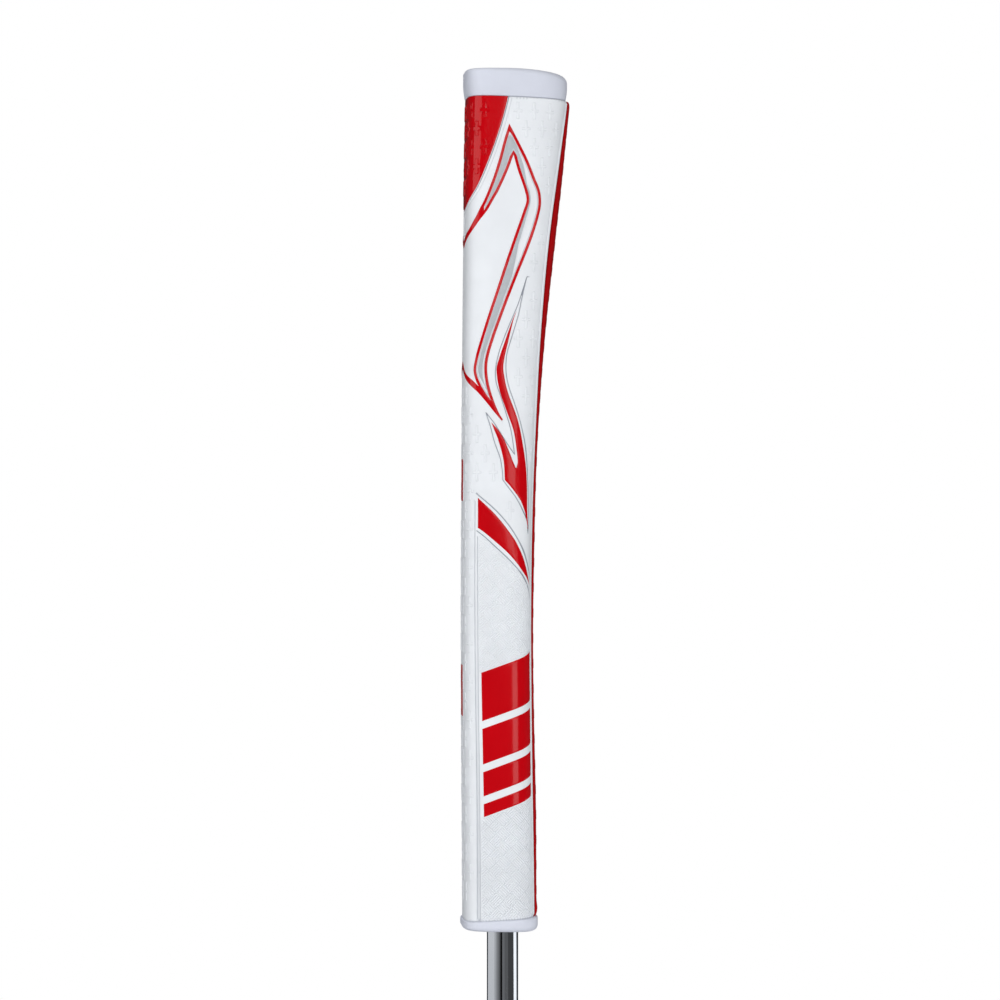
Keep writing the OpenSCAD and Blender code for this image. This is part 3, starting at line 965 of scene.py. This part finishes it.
def off_centre(outlines):
    """The outlines without their parts along the centre line, and whether each is still closed."""
    lines, closed = [], []
    for line in outlines:
        on = line[:, 0] < 1e-3
        if on.any():
            first = np.nonzero(on & ~np.roll(on, -1))[0][0]
            line = np.roll(line, -first, axis=0)
            off = np.nonzero(line[:, 0] > 1e-3)[0]
            line = line[: min(off[-1] + 2, len(line))]
            if line[-1, 0] > 1e-3:
                line = np.concatenate([line, [[0.0, line[-1, 1]]]])
        lines.append(line)
        closed.append(not on.any())
    return lines, closed

def inlay(
    name, outlines, nodes, deep=-0.3, pluses=(), look=(RED, "inlay_red", film), room=0.12, mesh_step=0.75
):
    """A film inlay: a closed slab over flat outlines, odd-even filled, down to deep under the skin."""
    material, slot, height = look
    layout = Layout()
    for line in outlines:
        layout.add(line, 0, "closed")
    near = Nearness(*off_centre(outlines), 0.04)

    def filled(p):
        return np.logical_xor.reduce([inside(p, line) for line in outlines])

    def roomy(p):
        return filled(np.abs(p) + [1e-4, 0]) & (near(np.abs(p))[0] > 0.7)

    for away in (room, 0.5):
        for line in outlines:
            layout.add_beside(line, away, lambda p: (p[:, 0] > 1e-3) & filled(p), near)
    add_pluses(layout, pluses, roomy, 0.13, 0.12, (1.2, 2.2, 0.42), 0.26)
    low, high = np.min([o.min(0) for o in outlines], 0), np.max([o.max(0) for o in outlines], 0)
    spots = lattice(low, high, mesh_step, mesh_step * 2.2)
    layout.fill(spots[(spots[:, 0] > 0.3) & filled(spots)], 0.4)
    flat, own, tris = layout.triangles(filled)
    top = (flat, lean(on_skin(flat, own[:, 0] + height(near(flat)[0]))), tris)
    under = (flat, lean(on_skin(flat, deep)), tris)
    make(name, closed_solid(top, under, own[:, 1]), material, "grip", nodes)


def build_inlays():
    silver = (SILVER, "inlay_silver", trough)
    inlay("field_film", [FIELD], ["top_field_inlay"], pluses=plus_spots(24, 224))
    inlay("blade_line_film", [BLADE, CHANNEL, HEART], ["blade_line_inlays"], -0.42)
    inlay("blade_silver_film", [SILVER_LINE], ["blade_silver_inlays"], -0.5, (), silver, 0.2, 0.8)
    inlay("flame_film", [FLAME], ["flame_inlays"])
    inlay("wedge_film", [WEDGE], ["wedge_inlays"])
    inlay("bar_films", BARS, ["bar_inlays"])
    inlay("front_dash_films", DASHES, ["front_dash_inlays"])


STRIP_RISE, STRIP_FLAT = 1.0, 0.8  # height of the strip, and the share of its width that is flat


def build_strip():
    """The raised strip down the back, with rounded shoulders and its own rows of small pluses."""
    z = np.append(np.arange(SKIN_LOW, SKIN_TOP, 1.0), SKIN_TOP)
    half = strip_half(z)
    layout = Layout()
    rim = [
        pairs(np.linspace(0, half[0], 9)[:-1], z[0]),
        pairs(half, z),
        pairs(np.linspace(half[-1], 0, 9)[1:], z[-1]),
        pairs(0, np.linspace(z[-1], z[0], 162)[1:-1]),
    ]
    layout.add(np.concatenate(rim), 0, "closed")
    for share in (0.992, 0.975, 0.94, 0.88, 0.8):
        layout.add(pairs(share * half[1:-1], z[1:-1]), 0, "open")
    for end, sign in ((SKIN_LOW, 1), (SKIN_TOP, -1)):
        for away in (0.15, 0.4, 0.8, 1.4, 2.2):
            level = end + sign * away
            layout.add(pairs(np.linspace(0, strip_half(level) * STRIP_FLAT - 0.2, 8), level))

    def allowed(p):
        u, z = p.T
        return (u < strip_half(z) * STRIP_FLAT) & (z > SKIN_LOW + 3) & (z < SKIN_TOP - 3)

    spots = [
        (k * 2.1, level)
        for k in range(4)
        for level in np.arange(SKIN_LOW + 4 + k * PLUS_PITCH / 3, SKIN_TOP - 3, PLUS_PITCH / 3 * 2)
    ]
    add_pluses(layout, np.array(spots), allowed, 0.08, 0.5, (0.72, 1.35, 0.22))
    spots = lattice((0.6, SKIN_LOW + 2.6), (12, SKIN_TOP - 2.4), 0.9, 2.0)
    layout.fill(spots[spots[:, 0] < strip_half(spots[:, 1]) * 0.77], 0.35)
    flat, own, tris = layout.triangles(lambda m: m[:, 0] < strip_half(m[:, 1]) - 0.003)
    u, z = flat.T
    share = np.clip(u / strip_half(z), 0, 1)
    edge = share > 0.9999
    crown = (1 - share**4) ** 0.5
    low, high = z - SKIN_LOW, SKIN_TOP - z
    rise = STRIP_RISE * np.where(edge, 0, crown)
    rise *= 0.25 + 0.75 * np.sqrt(1 - (1 - np.clip(high / 2.2, 0, 1)) ** 2)
    rise *= 0.3 + 0.7 * np.sqrt(1 - (1 - np.clip(low / 1.4, 0, 1)) ** 2)
    rise += 0.3 * np.exp(-(((low - 2.6) / 1.6) ** 2)) * crown
    rise += 0.2 * soft((z - 215) / 20) * crown
    for much, middle, reach in ((0.28, 40, 22), (0.22, 122, 24)):
        rise += much * np.exp(-(((z - middle) / reach) ** 2)) * crown
    top = (flat, lean(on_skin(flat, own[:, 0] * crown + (rise - 0.12 * edge), True)), tris)
    under = (flat, lean(on_skin(flat, UNDERSIDE, True)), tris)
    # painted shadow: a dark line along the strip's rim, beside the skin's lip
    solid = closed_solid(top, under, np.maximum(own[:, 1], 0.6 * soft((share - 0.92) / 0.06)))
    make("back_strip_skin", solid, STRIP, "grip", ["back_strip"])


# ---- cap, collar, shaft and plug


def ring_loft(name, rings, material, body, nodes, caps=False):
    """A closed body through rings of points: a torus, or with caps a ball with its ends fanned."""
    rings = np.array(rings)
    m, n = rings.shape[:2]
    verts = rings.reshape(-1, 3)
    faces = []
    for j in range(m - 1 if caps else m):
        k = (j + 1) % m
        for i in range(n):
            q = (i + 1) % n
            faces.append((j * n + i, j * n + q, k * n + q, k * n + i))
    if caps:
        verts = np.concatenate([verts, [rings[0].mean(0), rings[-1].mean(0)]])
        for i in range(n):
            faces.append((m * n, (i + 1) % n, i))
            faces.append((m * n + 1, (m - 1) * n + i, (m - 1) * n + (i + 1) % n))
    make(name, (verts, faces), material, body, nodes, 32)


def full_turn(n):
    return np.linspace(0, 2 * math.pi, n, endpoint=False)


def circle(r, z, n=192):
    t = full_turn(n)
    return np.stack([r * np.sin(t), -r * np.cos(t), np.full(n, z)], 1)


def outer_ring(shape, inset, z, n=192):
    x, y = section(*(s - inset for s in shape), full_turn(n))
    return np.stack([x, y, np.full(n, z)], 1)


def build_cap():
    profile = [(0, 0.95), (0.08, 0.74), (0.2, 0.55), (0.5, 0.43), (1.2, 0.32), (2.4, 0.14), (4.2, 0)]
    rings = [outer_ring(CAP_SHAPE, inset, SKIN_TOP + up) for up, inset in profile]
    for a in np.radians(np.linspace(0, 90, 10)):
        tight, wide = (
            outer_ring(CAP_SHAPE, r * (1 - math.cos(a)), CAP_TOP - r + r * math.sin(a)) for r in (0.7, 2.3)
        )
        share = np.clip((tight[:, 1:2] + 12) / 30, 0, 1)
        rings.append(tight * (1 - share) + wide * share)
    rings += [outer_ring(CAP_SHAPE, inset, CAP_TOP) for inset in (2.9, 4)]
    seat_low, seat_top = 264.2, 265.4  # the groove that holds the insert's flange
    for r, z in [
        (7.4, CAP_TOP), (7.15, CAP_TOP), (6.95, CAP_TOP - 0.05), (6.82, CAP_TOP - 0.18), (6.8, CAP_TOP - 0.4),
        (6.8, seat_top), (9, seat_top), (9, seat_low), (7, seat_low), (7, CAP_LOW), (8.5, CAP_LOW),
        (8.8, CAP_LOW + 0.3), (8.8, SKIN_TOP),
    ]:
        rings.append(circle(r, z))
    ring_loft("butt_cap_shell", [lean(ring) for ring in rings], CAP, "grip", ["butt_cap"])


def build_collar():
    top = SKIN_LOW
    turn = np.radians(np.linspace(0, 90, 10))
    profile = [(1.6 * (1 - math.cos(a)), 1.6 * (1 - math.sin(a))) for a in turn]
    profile += [(2.4, 0), (top - 0.45, 0), (top - 0.2, 0.06), (top - 0.06, 0.2), (top, 0.45)]
    rings = [outer_ring(COLLAR_SHAPE, inset, z) for z, inset in profile]
    for r, z in [(8, top), (BUTT_R, top), (BUTT_R, 0.35), (BUTT_R + 0.1, 0.1), (BUTT_R + 0.35, 0), (8, 0)]:
        rings.append(circle(r, z))
    rings = [lean(ring) for ring in rings]
    ring_loft("bottom_collar_ring", rings, CAP, "grip", ["bottom_collar"])


def build_shaft():
    inner = BUTT_R - (SHAFT_R - TUBE_R)
    stub_mid, butt_mid = -20, 124
    profile = [
        (SHAFT_R - 0.1, STUB_END), (SHAFT_R, STUB_END + 0.12), (SHAFT_R, stub_mid), (SHAFT_R, -0.3),
        (SHAFT_R + 0.05, -0.12), (BUTT_R - 0.03, -0.02), (BUTT_R, 0.05), (BUTT_R, butt_mid),
        (BUTT_R, SHAFT_TOP), (inner, SHAFT_TOP), (inner, butt_mid), (inner, 0.3), (TUBE_R, -0.2),
        (TUBE_R, stub_mid), (TUBE_R, STUB_END + 0.12), (TUBE_R + 0.1, STUB_END),
    ]
    rings = [circle(r, z, 160) for r, z in profile]
    ring_loft("shaft_tube", rings, CHROME, "grip", ["shaft"])


def build_plug():
    """Screw plug: threaded shank, chamfered head and a six-sided key socket."""
    n = 96
    (_, _, end), (head_r, _, top) = box_mm("port_plug")
    head_low, pitch, crest, depth = top - 1.6, 1.5, 4.95, 0.75
    t = full_turn(n)
    rings = [circle(0.8, end, n), circle(3.6, end, n), circle(crest - depth, end + 0.35, n)]
    for z in np.arange(end + 0.45, head_low - 0.9, pitch / 14):
        phase = ((z - end) / pitch - t / (2 * math.pi)) % 1
        tooth = np.clip(1.25 - np.abs(phase - 0.5) * 2.9, 0, 1)
        fade = soft(min((z - end) / 2.0, (head_low - 0.9 - z) / 0.8))
        rings.append(circle(crest - depth + depth * tooth * fade, z, n))
    rings += [circle(crest - depth, head_low - 0.6, n), circle(crest - 0.35, head_low, n)]
    for r, z in [
        (head_r - 0.12, head_low), (head_r, head_low + 0.12), (head_r, top - 0.42),
        (head_r - 0.14, top - 0.16), (head_r - 0.42, top), (head_r - 0.8, top), (head_r - 1.0, top - 0.08),
        (head_r - 1.25, top - 0.08), (head_r - 1.45, top), (3.9, top),
    ]:
        rings.append(circle(r, z, n))
    flat = 2.5 / np.cos((t + math.pi / 6) % (math.pi / 3) - math.pi / 6)
    for grow, z in [(0.3, top), (0.08, top - 0.12), (0, top - 0.3), (0, top - 2.95), (-0.15, top - 3)]:
        rings.append(circle(flat + grow, z, n))
    rings.append(circle(0.8, top - 3, n))
    ring_loft("port_screw_plug", rings, PLUG, "plug", ["port_plug"], caps=True)


HIDDEN = {
    "foam_core": ("foam", (0.05, 0.052, 0.06), (0.095, 0.1, 0.11), 900, 0.85, 0.0003),
    "felt_backing": ("felt", (0.6, 0.6, 0.58), (0.78, 0.78, 0.76), 700, 0.9, 0.0002),
    "port_insert": ("port_plastic", (0.024, 0.024, 0.027), (0.04, 0.04, 0.044), 1500, 0.5, 0.00004),
    "plug_o_ring": ("seal_rubber", (0.012, 0.012, 0.012), (0.02, 0.02, 0.02), 2200, 0.4, 0.00002),
}


def finish_nodes():
    """Finishes for the CAD nodes that stay."""
    finishes = {node: (look[0], speckled(*look)) for node, look in HIDDEN.items()}
    finishes["shaft_tape"] = "tape", woven("tape", (0.6, 0.54, 0.36), (0.78, 0.72, 0.5), 0.0008)
    for node, (slot, material) in finishes.items():
        piece = NODES[node]
        if not piece.material_slots:
            piece.data.materials.append(material)
        for place in piece.material_slots:
            place.material = material


# ---- camera and studio

CAMERA_TURN, CAMERA_TILT = math.radians(4.5), math.radians(0.7915)
CAMERA_AWAY, CAMERA_ASIDE, CAMERA_HIGH, CAMERA_LENS = 1.21184, -0.00078, 0.150, 139.75
TOWARD = Vector((math.cos(CAMERA_TURN), -math.sin(CAMERA_TURN), 0))
SIDEWAYS = Vector((math.sin(CAMERA_TURN), math.cos(CAMERA_TURN), 0))
FLOOR_Z, FLOOR_REACH = -0.3, 6.0
# what shiny things see near the grip: a ring of cards, and sectors of the floor inside it
RING_R, RING_LOW, RING_HIGH = 0.5, -0.29, -0.06


def aimed(name, data, place, look):
    """A camera or light at a place, looking along a direction."""
    thing = placed(name, data)
    thing.location = place
    thing.rotation_mode = "QUATERNION"
    thing.rotation_quaternion = look.to_track_quat("-Z", "Y")
    return thing


def around(angle):
    """The level direction at an angle from the camera, in degrees, positive to the picture's right."""
    return TOWARD * math.cos(math.radians(angle)) + SIDEWAYS * math.sin(math.radians(angle))


def build_camera():
    data = bpy.data.cameras.new("camera")
    data.sensor_width, data.lens = 36, CAMERA_LENS
    data.clip_start, data.clip_end = 0.05, 50
    place = TOWARD * CAMERA_AWAY + SIDEWAYS * CAMERA_ASIDE + Vector((0, 0, CAMERA_HIGH))
    look = -TOWARD * math.cos(CAMERA_TILT) - Vector((0, 0, math.sin(CAMERA_TILT)))
    bpy.context.scene.camera = aimed("camera", data, place, look)


def softbox(name, angle, distance, wide, tall, middle, radiance, tip=0.0, shine=True):
    """A soft light around the grip. middle: the height it faces. tip: how far it is raised, in degrees."""
    data = bpy.data.lights.new(name, "AREA")
    data.shape = "RECTANGLE"
    data.size, data.size_y = wide, tall
    data.energy = radiance * math.pi * wide * tall
    e = math.radians(tip)
    aim = around(angle) * math.cos(e) + Vector((0, 0, math.sin(e)))
    light = aimed(name, data, aim * distance + Vector((0, 0, middle)), -aim)
    light.visible_camera = False
    light.visible_glossy = shine


def glow(tree, kind, color, strength):
    node = tree.nodes.new(kind)
    node.inputs["Color"].default_value = (*color, 1)
    node.inputs["Strength"].default_value = strength
    return node.outputs[0]


def show(tree, last, kind, mirrored, shown):
    """Joins last to the output, with other glows in its place for shiny things and for the camera."""
    for rays, light in (("Is Glossy Ray", mirrored), ("Is Camera Ray", shown)):
        if light:
            path, mix = tree.nodes.new("ShaderNodeLightPath"), tree.nodes.new("ShaderNodeMixShader")
            tree.links.new(path.outputs[rays], mix.inputs[0])
            tree.links.new(last, mix.inputs[1])
            tree.links.new(glow(tree, kind, *light), mix.inputs[2])
            last = mix.outputs[0]
    out = next(n for n in tree.nodes if n.type in ("OUTPUT_MATERIAL", "OUTPUT_WORLD"))
    tree.links.new(last, out.inputs["Surface"])


def stage_plane(name, corners, color, mirrored, shown=None):
    """A stage surface, with the colours that shiny things and the camera see in its place."""
    m = Nodes(name)
    m.set(Base_Color=(*color, 1), Roughness=0.9, Specular_IOR_Level=0.1)
    show(m.tree, m.shader.outputs[0], "ShaderNodeEmission", (mirrored, 1.0), shown and (shown, 1.0))
    mesh = bpy.data.meshes.new(name)
    mesh.from_pydata(corners, [], [tuple(range(len(corners)))])
    mesh.materials.append(m.material)
    plane = placed(name, mesh)
    return plane


def reflector(name, corners, tone):
    """A card that only shiny things see."""
    card = stage_plane(name, corners, (0, 0, 0), tone)
    card.visible_camera = card.visible_diffuse = card.visible_shadow = False


def standing_corners(angle, half_angle):
    """Corners of an upright card in the ring."""
    middle = around(angle) * RING_R
    across = Vector((-middle.y, middle.x, 0)).normalized() * RING_R * math.tan(math.radians(half_angle))
    low, high = Vector((0, 0, RING_LOW)), Vector((0, 0, RING_HIGH))
    return [middle - across + low, middle + across + low, middle + across + high, middle - across + high]


def build_studio():
    r = FLOOR_REACH
    corners = [(-r, -r, FLOOR_Z), (r, -r, FLOOR_Z), (r, r, FLOOR_Z), (-r, r, FLOOR_Z)]
    stage_plane("floor", corners, (0.6, 0.61, 0.63), (0.035, 0.04, 0.048), (1, 1, 1))
    spokes = [(math.cos(a), math.sin(a)) for a in np.radians(range(0, 361, 30))]
    for k, (a, b) in enumerate(zip(spokes, spokes[1:])):
        tone = (0.7, 0.7, 0.7, 0.12, 0.38, 0.38)[k % 6]
        ends = ((0.02, a), (RING_R, a), (RING_R, b), (0.02, b))
        reflector(f"spoke_{k}", [(r * x, r * y, FLOOR_Z + 0.0005) for r, (x, y) in ends], (tone, tone, tone))
    for k, (angle, half, tone) in enumerate(
        [(-100, 35, 0.64), (-59, 6, 0.5), (-48, 5, 0.36), (-38, 5, 0.25), (-29, 4, 0.18), (-20.5, 4.5, 0.11),
         (-9, 7.2, 0.006), (6.6, 8.4, 0.165), (28.5, 13.5, 0.115), (66, 24, 0.06), (108, 17, 1.2)]
    ):
        reflector(f"card_{k}", standing_corners(angle, half), (tone, tone * 1.02, tone * 1.05))
    softbox("key_left", -66, 0.8, 0.72, 0.8, 0.34, 1.15)
    softbox("right_low", 31.6, 0.85, 0.28, 0.225, -0.03, 1.75)
    softbox("right_high", 18.5, 0.85, 0.224, 0.66, 0.41, 1.7)
    softbox("front", 0, 1.4, 1.3, 0.9, 0.1, 2.25, 21, False)
    softbox("edge_right", 108, 0.85, 0.54, 0.34, -0.13, 0.4, 0, False)
    softbox("fill_low", 30, 0.45, 0.3, 0.2, 0.02, 1.5, -30, False)
    softbox("fill_right", 110, 0.85, 0.75, 1.1, 0.18, 0.34, 0, False)
    softbox("far_side", 184, 1.4, 0.7, 0.9, 0.1, 3.4, 10, False)
    world = bpy.data.worlds.new("studio")
    bpy.context.scene.world = world
    world.use_nodes = True
    tree = world.node_tree
    sky = glow(tree, "ShaderNodeBackground", (0.96, 0.98, 1.0), 0.36)
    show(tree, sky, "ShaderNodeBackground", ((0.9, 0.95, 1.0), 0.025), ((1, 1, 1), 1.0))
    bpy.context.scene.view_settings.view_transform = "Standard"


build_camera()
build_studio()
build_skin()
build_inlays()
build_strip()
build_cap()
build_collar()
build_shaft()
build_plug()
finish_nodes()

bpy.context.view_layer.update()
